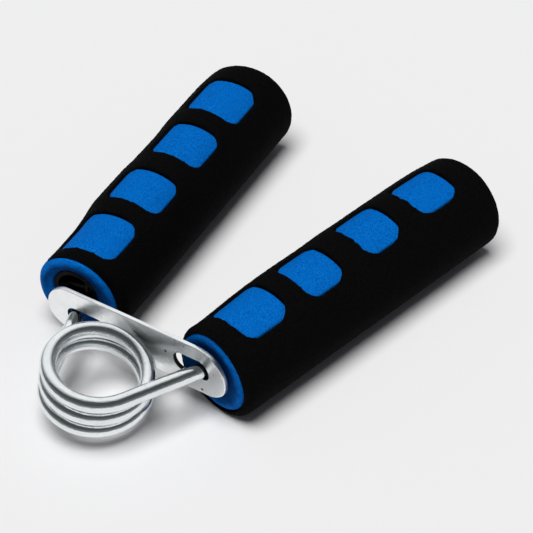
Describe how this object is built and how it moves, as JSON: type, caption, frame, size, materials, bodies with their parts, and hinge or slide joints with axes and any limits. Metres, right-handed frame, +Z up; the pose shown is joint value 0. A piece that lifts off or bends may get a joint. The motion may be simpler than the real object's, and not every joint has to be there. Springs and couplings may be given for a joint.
{
  "type": "hand grip strengthener",
  "caption": "Two foam-covered grips joined by a torsion spring's coil and a slotted link plate, squeezed together to train the hand.",
  "frame": {"origin": "under the middle of the bounding box, on the surface that the grips lie on", "axes": "+Z up, away from the surface the grips lie on; +Y from the coil towards the grips' far ends; +X to the right grip"},
  "size_m": [0.1126, 0.1414, 0.03],
  "materials": {
    "spring_steel": "bright plated spring wire",
    "zinc_plate": "satin zinc plate",
    "black_foam": "matt closed-cell foam",
    "blue_foam": "matt closed-cell foam",
    "core_plastic": "moulded black plastic"
  },
  "bodies": {
    "spring": {"spring_coil": "spring_steel", "link_plate": "zinc_plate"},
    "left_grip": {"spring_leg_left": "spring_steel", "left_grip_core": "core_plastic", "left_inner_foam": "blue_foam", "left_outer_foam": "black_foam"},
    "right_grip": {"spring_leg_right": "spring_steel", "right_grip_core": "core_plastic", "right_inner_foam": "blue_foam", "right_outer_foam": "black_foam"}
  },
  "joints": [
    {"name": "left_squeeze", "type": "hinge", "parent": "spring", "child": "left_grip", "pos_m": [0.00036, -0.05435, 0.0147], "axis": [0, 0, -1], "range_deg": [0, 12], "stiffness_Nm_per_rad": 42, "springref_deg": -0.57},
    {"name": "right_squeeze", "type": "hinge", "parent": "spring", "child": "right_grip", "pos_m": [0.00036, -0.05435, 0.0147], "axis": [0, 0, 1], "range_deg": [0, 12], "stiffness_Nm_per_rad": 42, "springref_deg": -0.57}
  ],
  "couplings": [
    {"joint": "right_squeeze", "follows": "left_squeeze", "ratio": 1}
  ]
}
